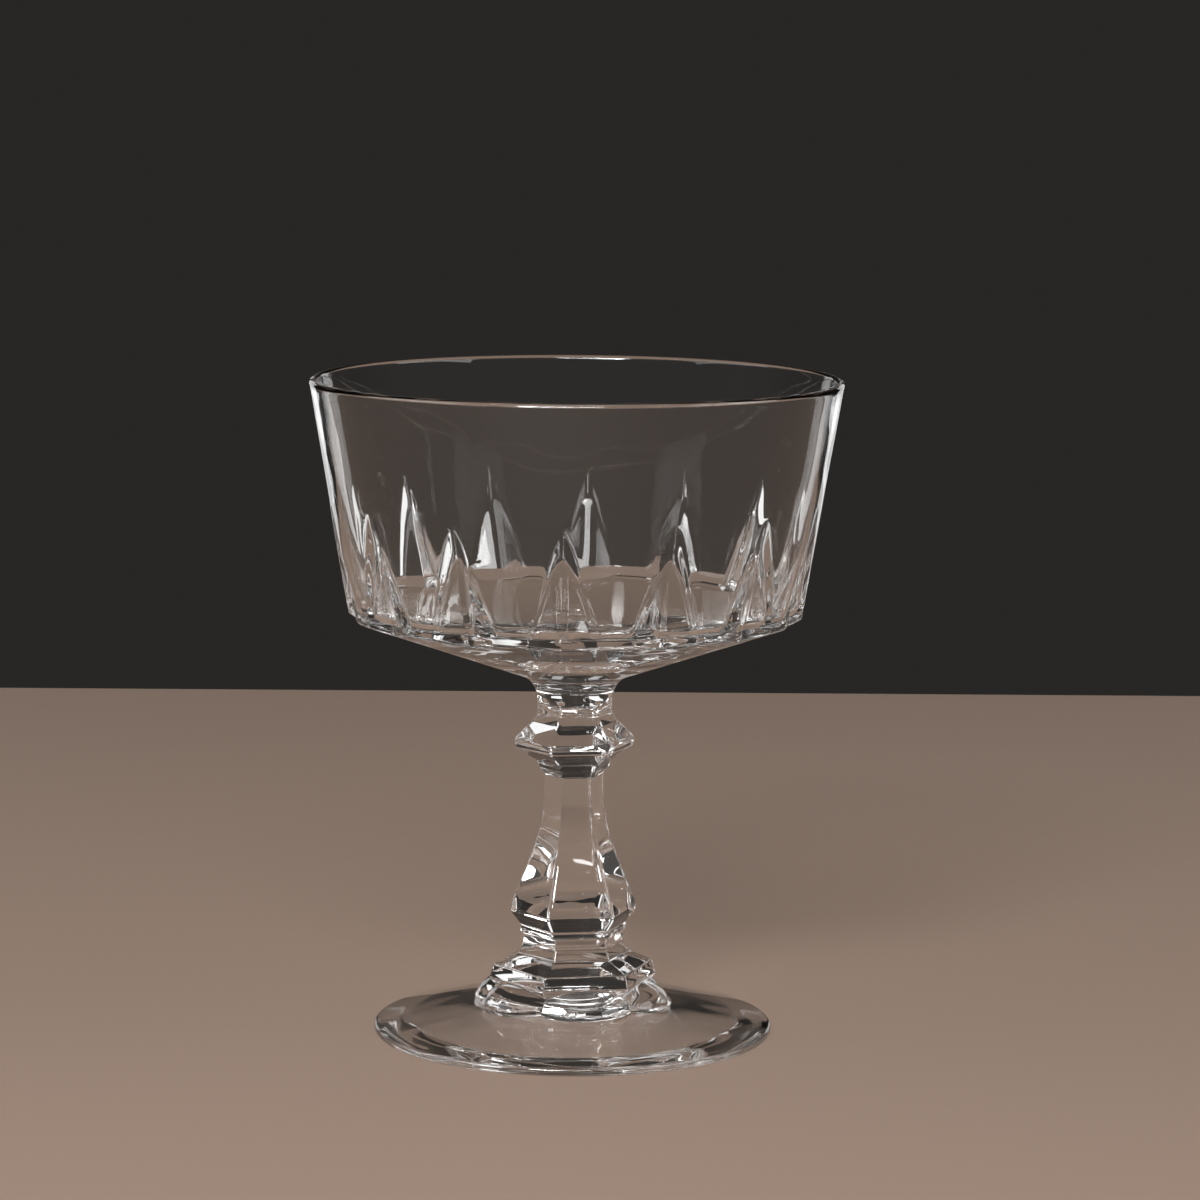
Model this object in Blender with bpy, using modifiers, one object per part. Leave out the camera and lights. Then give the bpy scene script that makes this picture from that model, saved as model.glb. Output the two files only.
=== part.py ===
"""Sherbet glass in clear pressed crystal: a cut bowl fused to a six-sided stem and a round foot.

Lengths are in metres and +Z is up. The foot stands on z = 0 and the axis of the glass is the Z axis.
Turns about Z are counted from the front of the glass (-Y) towards +X.
"""
import math

import bmesh
import bpy
from mathutils import Matrix, Vector

# Whole glass
GLASS_HEIGHT = 0.1120

# Foot: a shallow cone of glass, hollowed underneath inside a flat resting ring
FOOT_RADIUS = 0.0340
FOOT_EDGE_HEIGHT = 0.0013
FOOT_EDGE_ROUND = 0.0006
FOOT_RISE = 0.0040
KICK_RADIUS = 0.0280
KICK_HEIGHT = 0.0045
KICK_CROWN = 0.0100

# Petals: a ring of six rounded lobes at the root of the collar
PETAL_REACH = 0.0170
PETAL_RADIUS = 0.0095
PETAL_HEIGHT = 0.0051
PETAL_ROOT = 0.0004
PETAL_SINK = 0.0003

# Collar: the six-sided step and neck that stand on the petals
COLLAR_HEIGHT = 0.0064
COLLAR_TOP_RADIUS = 0.0138
COLLAR_FOOT_RADIUS = 0.0146
COLLAR_FACE_HEIGHT = 0.0024
COLLAR_UNDERCUT = 0.0012
SHOULDER_HEIGHT = 0.0018
SHOULDER_RADIUS = 0.0096
NECK_HEIGHT = 0.0037
NECK_RADIUS = 0.0087
NECK_FILLET = 0.0009
COLLAR_TURN = math.radians(10.0)

# Stem: six flat sides all the way up; each radius is measured to the corners
RING_HEIGHT = 0.0011
RING_RADIUS = 0.0093
UNDERCUT_HEIGHT = 0.0022
GIRDLE_HEIGHT = 0.0008
GIRDLE_RADIUS = 0.0111
BALUSTER_HEIGHT = 0.0218
BALUSTER_LEAN = 0.40
BALUSTER_FOOT_PULL = 0.0098
BALUSTER_TOP_PULL = 0.0087
THROAT_HEIGHT = 0.0010
THROAT_RADIUS = 0.0051
CUFF_HEIGHT = 0.0025
CUFF_RADIUS = 0.0066
CUFF_EDGE_HEIGHT = 0.0012
CUFF_EDGE_RADIUS = 0.0061
KNOP_UNDER_HEIGHT = 0.0027
KNOP_EDGE_HEIGHT = 0.0008
KNOP_RADIUS = 0.0105
KNOP_TOP_HEIGHT = 0.0032
KNOP_ROOT_RADIUS = 0.0074
STEM_NECK_HEIGHT = 0.0030
STEM_NECK_RADIUS = 0.0065
STEM_NECK_FILLET = 0.0008
STEM_TURN = math.radians(8.0)
STEM_EDGE_BEVEL = 0.00025
STEM_EDGE_ANGLE = math.radians(14.0)

# Bowl: button and flare, cone underside, shoulder and straight tapered wall up to the lip
BUTTON_RADIUS = 0.0064
BUTTON_HEIGHT = 0.0037
FLARE_FILLET = 0.0045
SCALLOP_HEIGHT = 0.0018
SCALLOP_RADIUS = 0.0067
UNDERSIDE_HEIGHT = 0.0112
BOWL_BASE_RADIUS = 0.0384
BOWL_BASE_ROUND = 0.0008
RIM_RADIUS = 0.0452
RIM_WALL = 0.0015
LIP_ROUND = 0.00065
BASE_WALL = 0.0021
FLOOR_LEVEL = 0.0012
FLOOR_DISH = 0.0035
FLOOR_FILLET = 0.0025

# Spikes: mitre cuts that are deepest at the shoulder and run out to a point on the wall
SPIKE_COUNT = 14
SPIKE_RISE = 0.0202
SPIKE_DEPTH = 0.0021
SPIKE_HALF_WIDTH = 0.0056
SPIKE_TURN = math.radians(-3.0)

# Swells: behind each cut the inside of the wall stands in as a rounded ridge
SWELL_ROOT = 0.0003
SWELL_RISE = 0.0180
SWELL_DEPTH = 0.0032
SWELL_FLANK = math.radians(32.0)
SWELL_NOSE = 0.0060

# Wheels that shape the spikes and the swells
WHEEL_HALF_THICKNESS = 0.0074

# Seam between two fused pieces, and how far a cutting tool runs past what it cuts
FUSION_GAP = 0.0003
CUT_OVERRUN = 0.0020

# Clear crystal, a little greyer where the glass is thicker
GLASS_IOR = 1.52
GLASS_ROUGHNESS = 0.03
BOWL_TINT = (0.95, 0.96, 0.96, 1.0)
STEM_TINT = (0.94, 0.95, 0.95, 1.0)
FOOT_TINT = (0.93, 0.95, 0.95, 1.0)

# Sides of the flat-sided and the round pieces, and the fineness of their curves
STEM_SIDES = 6
WHEEL_SIDES = 120
WALL_SIDES_PER_SPIKE = 6
BOWL_SIDES = WALL_SIDES_PER_SPIKE * SPIKE_COUNT
FOOT_SIDES = 72
PETAL_SEGMENTS = 24
PETAL_RINGS = 12
FILLET_STEPS = 4
KICK_STEPS = 8
CURVE_STEPS = 10
BEVEL_SEGMENTS = 2
MERGE_DISTANCE = 0.00001

# Heights of the seams and edges, stacked from the table up
FOOT_CROWN_Z = FOOT_EDGE_HEIGHT + FOOT_RISE
COLLAR_TOP_Z = FOOT_CROWN_Z + COLLAR_HEIGHT
FOOT_TOP_Z = COLLAR_TOP_Z + SHOULDER_HEIGHT + NECK_HEIGHT
STEM_BOTTOM_Z = FOOT_TOP_Z + FUSION_GAP
GIRDLE_Z = STEM_BOTTOM_Z + RING_HEIGHT + UNDERCUT_HEIGHT
THROAT_Z = GIRDLE_Z + GIRDLE_HEIGHT + BALUSTER_HEIGHT
CUFF_TOP_Z = THROAT_Z + THROAT_HEIGHT + CUFF_HEIGHT
KNOP_EDGE_Z = CUFF_TOP_Z + KNOP_UNDER_HEIGHT
KNOP_ROOT_Z = KNOP_EDGE_Z + KNOP_EDGE_HEIGHT + KNOP_TOP_HEIGHT
STEM_TOP_Z = KNOP_ROOT_Z + STEM_NECK_HEIGHT
BOWL_BOTTOM_Z = STEM_TOP_Z + FUSION_GAP
FLARE_Z = BOWL_BOTTOM_Z + BUTTON_HEIGHT
BOWL_BASE_Z = FLARE_Z + UNDERSIDE_HEIGHT
WALL_HEIGHT = GLASS_HEIGHT - BOWL_BASE_Z


def clear_scene():
    for item in list(bpy.data.objects):
        bpy.data.objects.remove(item, do_unlink=True)


def new_collection(name):
    collection = bpy.data.collections.new(name)
    bpy.context.scene.collection.children.link(collection)
    return collection


def crystal(name, tint):
    material = bpy.data.materials.new(name)
    material.use_nodes = True
    shader = material.node_tree.nodes["Principled BSDF"]
    shader.inputs["Base Color"].default_value = tint
    shader.inputs["Roughness"].default_value = GLASS_ROUGHNESS
    shader.inputs["Metallic"].default_value = 0.0
    shader.inputs["IOR"].default_value = GLASS_IOR
    shader.inputs["Transmission Weight"].default_value = 1.0
    return material


def rounded(corners):
    """Turn (radius, height, fillet) corners into an outline with an arc at each filleted corner."""
    outline = []
    for index, (radius, height, fillet) in enumerate(corners):
        corner = Vector((radius, height))
        if fillet == 0.0:
            outline.append(corner)
            continue
        before = (Vector(corners[index - 1][:2]) - corner).normalized()
        after = (Vector(corners[index + 1][:2]) - corner).normalized()
        half_angle = before.angle(after) / 2
        centre = corner + (before + after).normalized() * (fillet / math.sin(half_angle))
        start = corner + before * (fillet / math.tan(half_angle)) - centre
        sweep = start.angle_signed(corner + after * (fillet / math.tan(half_angle)) - centre)
        for step in range(FILLET_STEPS + 1):
            turn = Matrix.Rotation(-sweep * step / FILLET_STEPS, 2)
            outline.append(centre + turn @ start)
    return outline


def bezier(start, start_handle, end_handle, end):
    """Points of a cubic curve between two ends, both ends included."""
    points = []
    for step in range(CURVE_STEPS + 1):
        t = step / CURVE_STEPS
        s = 1.0 - t
        points.append(start * s ** 3 + start_handle * (3 * s * s * t)
                      + end_handle * (3 * s * t * t) + end * t ** 3)
    return points


def turned(name, outline, sides, collection, smooth):
    """Turn an outline, which runs down its outer side, about the axis of the glass."""
    mesh = bpy.data.meshes.new(name)
    edges = [(index, index + 1) for index in range(len(outline) - 1)]
    mesh.from_pydata([(point.x, 0.0, point.y) for point in outline], edges, [])
    piece = bpy.data.objects.new(name, mesh)
    collection.objects.link(piece)
    screw = piece.modifiers.new("turn", "SCREW")
    screw.axis = "Z"
    screw.steps = sides
    screw.render_steps = sides
    screw.use_merge_vertices = True
    screw.merge_threshold = MERGE_DISTANCE
    screw.use_smooth_shade = smooth
    return piece


def soften_edges(piece, width):
    bevel = piece.modifiers.new("soft edges", "BEVEL")
    bevel.width = width
    bevel.segments = BEVEL_SEGMENTS
    bevel.limit_method = "ANGLE"
    bevel.angle_limit = STEM_EDGE_ANGLE


def shape_with(piece, tool, operation):
    tool.hide_render = True
    tool.display_type = "WIRE"
    boolean = piece.modifiers.new(f"{operation.lower()} {tool.name}", "BOOLEAN")
    boolean.operation = operation
    boolean.solver = "EXACT"
    boolean.object = tool


def foot_disc(collection):
    """The cone of the foot, hollowed inside its flat resting ring to a lower cone with a round crown."""
    full_run = math.hypot(KICK_RADIUS, KICK_CROWN) - KICK_CROWN
    kick = []
    for step in range(1, KICK_STEPS + 1):
        radius = KICK_RADIUS * (1.0 - step / KICK_STEPS)
        run = math.hypot(radius, KICK_CROWN) - KICK_CROWN
        kick.append(Vector((radius, KICK_HEIGHT * (1.0 - run / full_run))))
    apex_z = FOOT_EDGE_HEIGHT + FOOT_RISE * FOOT_RADIUS / (FOOT_RADIUS - PETAL_REACH)
    outside = rounded([(0.0, apex_z, 0.0),
                       (FOOT_RADIUS, FOOT_EDGE_HEIGHT, FOOT_EDGE_ROUND),
                       (FOOT_RADIUS, 0.0, FOOT_EDGE_ROUND),
                       (KICK_RADIUS, 0.0, 0.0)])
    return turned("foot", outside + kick, FOOT_SIDES, collection, True)


def petal(number, collection):
    """One lobe: a flattened ball whose lower half is sunk into the foot.

    It is turned by a quarter of a facet, so that its facets do not line up with its neighbours'.
    """
    mesh = bpy.data.meshes.new(f"petal_tool_{number}")
    shape = bmesh.new()
    bmesh.ops.create_uvsphere(shape, u_segments=PETAL_SEGMENTS, v_segments=PETAL_RINGS, radius=1.0)
    sunk = [vertex for vertex in shape.verts if vertex.co.z < 0.0]
    bmesh.ops.scale(shape, vec=(1.0, 1.0, PETAL_ROOT / PETAL_HEIGHT), verts=sunk)
    bmesh.ops.scale(shape, vec=(PETAL_RADIUS, PETAL_RADIUS, PETAL_HEIGHT), verts=shape.verts)
    shape.to_mesh(mesh)
    shape.free()
    mesh.shade_smooth()
    tool = bpy.data.objects.new(mesh.name, mesh)
    collection.objects.link(tool)
    turn = COLLAR_TURN + math.tau * number / STEM_SIDES
    centre_distance = PETAL_REACH - PETAL_RADIUS
    tool.location = (centre_distance * math.sin(turn), -centre_distance * math.cos(turn),
                     FOOT_CROWN_Z - PETAL_SINK)
    quarter_facet = math.pi / (2 * PETAL_SEGMENTS)
    tool.rotation_euler.z = turn + quarter_facet
    return tool


def collar(collection):
    """The stepped six-sided collar, from the seam with the stem down into the petals."""
    root_z = FOOT_CROWN_Z - PETAL_ROOT
    undercut_radius = COLLAR_FOOT_RADIUS - COLLAR_UNDERCUT
    outline = rounded([(0.0, FOOT_TOP_Z, 0.0),
                       (NECK_RADIUS, FOOT_TOP_Z, 0.0),
                       (NECK_RADIUS, FOOT_TOP_Z - NECK_HEIGHT / 2, NECK_FILLET),
                       (SHOULDER_RADIUS, COLLAR_TOP_Z + SHOULDER_HEIGHT, 0.0),
                       (COLLAR_TOP_RADIUS, COLLAR_TOP_Z, 0.0),
                       (COLLAR_FOOT_RADIUS, COLLAR_TOP_Z - COLLAR_FACE_HEIGHT, 0.0),
                       (undercut_radius, COLLAR_TOP_Z - COLLAR_FACE_HEIGHT - COLLAR_UNDERCUT, 0.0),
                       (undercut_radius, root_z, 0.0),
                       (0.0, root_z, 0.0)])
    tool = turned("collar_tool", outline, STEM_SIDES, collection, False)
    tool.rotation_euler.z = COLLAR_TURN
    soften_edges(tool, STEM_EDGE_BEVEL)
    return tool


def make_foot(parts, tools, material):
    foot = foot_disc(parts)
    for number in range(STEM_SIDES):
        shape_with(foot, petal(number, tools), "UNION")
    shape_with(foot, collar(tools), "UNION")
    foot.data.materials.append(material)


def make_stem(parts, material):
    """The pressed stem: ring, girdle, baluster, throat, cuff, knop and neck on one six-sided outline."""
    baluster_foot = Vector((GIRDLE_RADIUS, GIRDLE_Z + GIRDLE_HEIGHT))
    baluster_top = Vector((THROAT_RADIUS, THROAT_Z))
    top_handle = baluster_top - Vector((0.0, BALUSTER_TOP_PULL))
    foot_handle = baluster_foot + Vector((-BALUSTER_LEAN, 1.0)) * BALUSTER_FOOT_PULL
    baluster = bezier(baluster_top, top_handle, foot_handle, baluster_foot)
    knop_and_cuff = rounded([(0.0, STEM_TOP_Z, 0.0),
                             (STEM_NECK_RADIUS, STEM_TOP_Z, 0.0),
                             (STEM_NECK_RADIUS, KNOP_ROOT_Z + STEM_NECK_HEIGHT / 2, STEM_NECK_FILLET),
                             (KNOP_ROOT_RADIUS, KNOP_ROOT_Z, 0.0),
                             (KNOP_RADIUS, KNOP_EDGE_Z + KNOP_EDGE_HEIGHT, 0.0),
                             (KNOP_RADIUS, KNOP_EDGE_Z, 0.0),
                             (CUFF_RADIUS, CUFF_TOP_Z, 0.0),
                             (CUFF_EDGE_RADIUS, CUFF_TOP_Z - CUFF_EDGE_HEIGHT, 0.0),
                             (THROAT_RADIUS, THROAT_Z + THROAT_HEIGHT, 0.0)])
    girdle_and_ring = rounded([(GIRDLE_RADIUS, GIRDLE_Z, 0.0),
                               (RING_RADIUS, STEM_BOTTOM_Z + RING_HEIGHT, 0.0),
                               (RING_RADIUS, STEM_BOTTOM_Z, 0.0),
                               (0.0, STEM_BOTTOM_Z, 0.0)])
    stem = turned("stem", knop_and_cuff + baluster + girdle_and_ring, STEM_SIDES, parts, False)
    stem.rotation_euler.z = STEM_TURN
    soften_edges(stem, STEM_EDGE_BEVEL)
    stem.data.materials.append(material)


def wall_radius(height):
    """Outer radius of the straight wall, before it is cut, at a height above the table."""
    return BOWL_BASE_RADIUS + (RIM_RADIUS - BOWL_BASE_RADIUS) * (height - BOWL_BASE_Z) / WALL_HEIGHT


def bowl_blank(collection):
    """The uncut bowl: up the inside from the dished floor, over the lip and down the outside.

    It is turned by half a facet, so that each spike is cut down the middle of a facet.
    """
    floor_edge_z = BOWL_BASE_Z + FLOOR_LEVEL
    inner_base = wall_radius(floor_edge_z) - BASE_WALL
    dish_radius = inner_base - FLOOR_FILLET
    dish = [Vector((dish_radius * share, floor_edge_z - FLOOR_DISH * (1.0 - share * share)))
            for share in (step / FILLET_STEPS for step in range(FILLET_STEPS))]
    body = rounded([(dish_radius, floor_edge_z, 0.0),
                    (inner_base, floor_edge_z, FLOOR_FILLET),
                    (RIM_RADIUS - RIM_WALL, GLASS_HEIGHT, LIP_ROUND),
                    (RIM_RADIUS, GLASS_HEIGHT, LIP_ROUND),
                    (BOWL_BASE_RADIUS, BOWL_BASE_Z, BOWL_BASE_ROUND),
                    (BUTTON_RADIUS, FLARE_Z, FLARE_FILLET),
                    (BUTTON_RADIUS, BOWL_BOTTOM_Z, 0.0),
                    (0.0, BOWL_BOTTOM_Z, 0.0)])
    bowl = turned("bowl", dish + body, BOWL_SIDES, collection, True)
    half_facet = math.pi / BOWL_SIDES
    bowl.rotation_euler.z = SPIKE_TURN + half_facet
    return bowl


def wheel_ring(name, base_radius, rise, depth, slope, nose, collection):
    """A ring of V-edged wheels, one for each spike, standing in the upright planes through the axis.

    The edge of a wheel is deepest at the shoulder and leaves the wall at the given rise, which sets the
    wheel's radius. The slope is that of the two flanks of its V, and the nose rounds the V.
    """
    lean = math.atan2(RIM_RADIUS - BOWL_BASE_RADIUS, WALL_HEIGHT)
    wheel_radius = rise ** 2 / (2 * depth)
    apex_radius = wheel_radius + nose * (math.hypot(1.0, slope) - 1.0)
    flank_radius = apex_radius - slope * WHEEL_HALF_THICKNESS
    outline = rounded([(0.0, WHEEL_HALF_THICKNESS, 0.0),
                       (flank_radius, WHEEL_HALF_THICKNESS, 0.0),
                       (apex_radius, 0.0, nose),
                       (flank_radius, -WHEEL_HALF_THICKNESS, 0.0),
                       (0.0, -WHEEL_HALF_THICKNESS, 0.0)])
    hub = Vector((0.0, depth - base_radius - wheel_radius * math.cos(lean),
                  BOWL_BASE_Z - wheel_radius * math.sin(lean)))
    mesh = bpy.data.meshes.new(name)
    shape = bmesh.new()
    for number in range(SPIKE_COUNT):
        turn = Matrix.Rotation(SPIKE_TURN + math.tau * number / SPIKE_COUNT, 4, "Z")
        axle = turn @ Vector((1.0, 0.0, 0.0))
        profile = [shape.verts.new(turn @ (hub + Vector((point.y, point.x, 0.0)))) for point in outline]
        chain = [shape.edges.new(ends) for ends in zip(profile, profile[1:])]
        bmesh.ops.spin(shape, geom=profile + chain, cent=turn @ hub, axis=axle, angle=math.tau,
                       steps=WHEEL_SIDES, use_merge=True)
    bmesh.ops.remove_doubles(shape, verts=shape.verts, dist=MERGE_DISTANCE)
    bmesh.ops.recalc_face_normals(shape, faces=shape.faces)
    shape.to_mesh(mesh)
    shape.free()
    wheels = bpy.data.objects.new(mesh.name, mesh)
    collection.objects.link(wheels)
    return wheels


def spike_wheels(collection):
    """The wheels that cut the spikes into the outside of the wall."""
    round_of_wall = SPIKE_HALF_WIDTH ** 2 / (2 * BOWL_BASE_RADIUS)
    slope = (SPIKE_DEPTH - round_of_wall) / SPIKE_HALF_WIDTH
    return wheel_ring("spike_wheels", BOWL_BASE_RADIUS, SPIKE_RISE, SPIKE_DEPTH, slope, 0.0, collection)


def swell_ridges(collection):
    """The ridges inside the bowl: the edges of a second ring of wheels, out to the middle of the wall."""
    low_z = BOWL_BASE_Z + SWELL_ROOT
    high_z = BOWL_BASE_Z + SWELL_RISE + CUT_OVERRUN
    outline = [Vector((0.0, high_z)),
               Vector((wall_radius(high_z) - BASE_WALL / 2, high_z)),
               Vector((wall_radius(low_z) - BASE_WALL / 2, low_z)),
               Vector((0.0, low_z))]
    ridges = turned("swell_ridges", outline, BOWL_SIDES, collection, True)
    wheels = wheel_ring("swell_wheels", BOWL_BASE_RADIUS - BASE_WALL, SWELL_RISE, SWELL_DEPTH,
                        math.tan(SWELL_FLANK), SWELL_NOSE, collection)
    shape_with(ridges, wheels, "INTERSECT")
    return ridges


def flare_die(collection):
    """The six-sided die round the button: its flats run out into the round flare as scallops."""
    corner_share = 1.0 / math.cos(math.pi / STEM_SIDES)
    clear_radius = (RIM_RADIUS + CUT_OVERRUN) * corner_share
    outline = [Vector((0.0, GLASS_HEIGHT + CUT_OVERRUN)),
               Vector((clear_radius, GLASS_HEIGHT + CUT_OVERRUN)),
               Vector((clear_radius, FLARE_Z)),
               Vector((SCALLOP_RADIUS * corner_share, BOWL_BOTTOM_Z + SCALLOP_HEIGHT)),
               Vector((STEM_NECK_RADIUS, BOWL_BOTTOM_Z)),
               Vector((STEM_NECK_RADIUS, BOWL_BOTTOM_Z - CUT_OVERRUN)),
               Vector((0.0, BOWL_BOTTOM_Z - CUT_OVERRUN))]
    die = turned("flare_die", outline, STEM_SIDES, collection, False)
    die.rotation_euler.z = STEM_TURN
    return die


def make_bowl(parts, tools, material):
    bowl = bowl_blank(parts)
    shape_with(bowl, swell_ridges(tools), "UNION")
    shape_with(bowl, spike_wheels(tools), "DIFFERENCE")
    shape_with(bowl, flare_die(tools), "INTERSECT")
    bowl.data.materials.append(material)


def main():
    clear_scene()
    parts = new_collection("sherbet_glass")
    tools = new_collection("shaping_tools")
    make_foot(parts, tools, crystal("foot_crystal", FOOT_TINT))
    make_stem(parts, crystal("stem_crystal", STEM_TINT))
    make_bowl(parts, tools, crystal("bowl_crystal", BOWL_TINT))


main()
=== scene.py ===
import math

import bpy
import numpy as np
from mathutils import Matrix, Vector


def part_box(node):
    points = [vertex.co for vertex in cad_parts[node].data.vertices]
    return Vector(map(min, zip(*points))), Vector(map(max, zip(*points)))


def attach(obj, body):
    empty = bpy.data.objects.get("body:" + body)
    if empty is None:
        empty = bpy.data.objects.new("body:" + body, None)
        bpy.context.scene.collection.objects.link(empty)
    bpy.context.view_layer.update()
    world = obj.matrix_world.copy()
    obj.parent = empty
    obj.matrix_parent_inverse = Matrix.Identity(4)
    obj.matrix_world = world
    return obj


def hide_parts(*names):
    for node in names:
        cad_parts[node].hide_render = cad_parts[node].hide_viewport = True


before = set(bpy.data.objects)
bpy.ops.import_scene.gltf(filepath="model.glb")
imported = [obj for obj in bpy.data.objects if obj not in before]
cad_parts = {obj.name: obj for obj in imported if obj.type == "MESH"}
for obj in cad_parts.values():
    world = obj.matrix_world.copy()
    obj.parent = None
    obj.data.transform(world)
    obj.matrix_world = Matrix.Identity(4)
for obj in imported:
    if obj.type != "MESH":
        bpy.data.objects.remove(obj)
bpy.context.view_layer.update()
print("frame loaded:", sorted(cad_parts))

mm = 0.001
sixth = math.tau / 6
halfFlat = sixth / 2         # half of the angle that one flat of a hexagon spans
solveRounds = 6              # the repeated substitutions below settle within these

# Heights that the frame fixes: the two fused joints lie midway in the gaps between the solids
footJointZ = (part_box("foot")[1].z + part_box("stem")[0].z) / 2
bowlJointZ = (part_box("stem")[1].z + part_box("bowl")[0].z) / 2
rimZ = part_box("bowl")[1].z


# shared shape helpers

def smoothStep(t):
    # 3t^2 - 2t^3, held at 0 and 1 outside the unit range
    t = np.clip(t, 0.0, 1.0)
    return t * t * (3.0 - 2.0 * t)


def risingShares(count):
    # a column of even shares from one step above 0 up to 1
    return np.linspace(0.0, 1.0, count + 1)[1:, None]


def softMin(a, b, width):
    # the lesser of two values, with the corner between them rounded over about width
    return 0.5 * (a + b - np.sqrt((a - b) ** 2 + width ** 2))


def softMax(a, b, width):
    # the greater of two values, rounded likewise
    return -softMin(-a, -b, width)


def roundingSpan(corner, fillet):
    # angle from a corner of a hexagon to the end of its rounding, where the circle touches the flat
    return np.arctan2(fillet / 2, corner - fillet * math.sin(halfFlat) ** 2 / math.cos(halfFlat))


def hexRadius(offset, corner, fillet):
    # polar radius of a hexagon with rounded corners; offset is the angle from the nearest corner:
    # a circle about a centre on the corner's line up to the rounding's end, the straight flat beyond it
    offset = np.abs(offset)
    centre = corner - fillet / math.cos(halfFlat)
    arc = centre * np.cos(offset) + np.sqrt(np.maximum(fillet ** 2 - (centre * np.sin(offset)) ** 2, 0.0))
    flat = corner * math.cos(halfFlat) / np.cos(halfFlat - offset)
    return np.where(offset < roundingSpan(corner, fillet), arc, flat)


def cornerOffset(angle, turn):
    # angle from the nearest corner of a hexagon whose flats are centred on turn
    return (angle - turn) % sixth - halfFlat


def hexColumns(turn, fillet, corner, arcStops, flatStops):
    # angles round a hexagon: close together over each rounded corner, wider apart along the flats
    span = roundingSpan(corner, fillet)
    half = np.concatenate([np.array(arcStops) * span, span + np.array(flatStops) * (halfFlat - span)])
    oneCorner = np.concatenate([-half[:0:-1], half[:-1]])
    corners = turn + halfFlat + sixth * np.arange(6)
    return (corners[:, None] + oneCorner[None, :]).ravel()


def roundedPath(corners, arcSteps):
    # a polyline whose corners (radius, height, fillet) are replaced by arcs of arcSteps chords
    points = []
    for index, (radius, height, fillet) in enumerate(corners):
        corner = np.array([radius, height])
        if fillet == 0.0:
            points.append(corner[None, :])
            continue
        before = np.array(corners[index - 1][:2]) - corner
        after = np.array(corners[index + 1][:2]) - corner
        before = before / np.linalg.norm(before)
        after = after / np.linalg.norm(after)
        half = math.acos(np.clip(before @ after, -1.0, 1.0)) / 2
        middle = (before + after) / np.linalg.norm(before + after)
        centre = corner + middle * (fillet / math.sin(half))
        swing = np.linspace(half - math.pi / 2, math.pi / 2 - half, arcSteps + 1)[:, None]
        across = (after - before) / np.linalg.norm(after - before)
        points.append(centre + fillet * (-middle * np.cos(swing) + across * np.sin(swing)))
    return np.concatenate(points)


def refined(path, longest):
    # the same path with every stretch longer than longest cut into equal shorter ones
    steps = np.linalg.norm(np.diff(path, axis=0), axis=1)
    counts = np.maximum(np.ceil(steps / longest).astype(int), 1)
    starts = np.repeat(np.arange(len(counts)), counts)
    share = np.concatenate([np.arange(count) / count for count in counts])[:, None]
    cut = path[starts] * (1 - share) + path[starts + 1] * share
    return np.concatenate([cut, path[-1:]])


def aroundAxis(radius, height, angle):
    # points from radius, height and angle, which is counted from the front (-Y) towards +X
    radius, height, angle = np.broadcast_arrays(radius, height, angle)
    return np.stack([radius * np.sin(angle), -radius * np.cos(angle), height], axis=-1)


def faceRings(outline, height, angle, shares):
    # level rings inside an outline, at the given shares of its radius
    return aroundAxis(outline * np.array(shares)[:, None], height, angle)


def gridPiece(name, grid, materials, jointBands):
    # closes a grid of rings into one skin: the first and last ring shrink to a pole each;
    # jointBands lists the bands of faces that lie inside the fused glass
    rings, columns = grid.shape[:2]
    poles = grid[[0, -1]].mean(axis=1)
    points = np.concatenate([poles[:1], grid[1:-1].reshape(-1, 3), poles[1:]])
    ring = np.arange(columns)
    following = np.roll(ring, -1)
    lastPole = len(points) - 1
    lowFan = np.stack([np.zeros(columns, int), 1 + following, 1 + ring], axis=1)
    topStart = 1 + (rings - 3) * columns
    topFan = np.stack([topStart + ring, topStart + following, np.full(columns, lastPole)], axis=1)
    base = 1 + columns * np.arange(rings - 3)[:, None]
    quads = np.stack([base + ring, base + following, base + columns + following, base + columns + ring],
                     axis=-1).reshape(-1, 4)
    loops = np.concatenate([lowFan.ravel(), quads.ravel(), topFan.ravel()])
    sizes = np.concatenate([np.full(columns, 3), np.full(len(quads), 4), np.full(columns, 3)])
    bands = np.repeat(np.arange(rings - 1), columns)
    mesh = bpy.data.meshes.new(name)
    mesh.vertices.add(len(points))
    mesh.vertices.foreach_set("co", points.astype(np.float32).ravel())
    mesh.loops.add(len(loops))
    mesh.loops.foreach_set("vertex_index", loops.astype(np.int32))
    mesh.polygons.add(len(sizes))
    mesh.polygons.foreach_set("loop_start", np.concatenate([[0], np.cumsum(sizes)[:-1]]).astype(np.int32))
    mesh.polygons.foreach_set("material_index", np.isin(bands, jointBands).astype(np.int32))
    mesh.update(calc_edges=True)
    mesh.validate()
    mesh.shade_smooth()
    for material in materials:
        mesh.materials.append(material)
    piece = bpy.data.objects.new(name, mesh)
    bpy.context.scene.collection.objects.link(piece)
    print(name, "points", len(points), "faces", len(sizes))
    return piece


# crystal

crystalLook = {
    "tint": (0.985, 0.99, 0.99, 1.0),
    "ior": 1.52,
    "shadowTint": (0.86, 0.86, 0.86, 1.0),
    "blownWaves": (70.0, 0.12 * mm),       # ripples per metre and their height
    "pressedWaves": (200.0, 0.06 * mm),
    "waveDetail": 1.0,
    "smears": 60.0,                        # faint marks of wiping per metre
    "smearDetail": 3.0,
    "smearRange": (0.45, 0.75),            # noise at which a mark starts and at which it is full
    "polish": (0.0, 0.03),                 # roughness between the marks and on them
}


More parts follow.
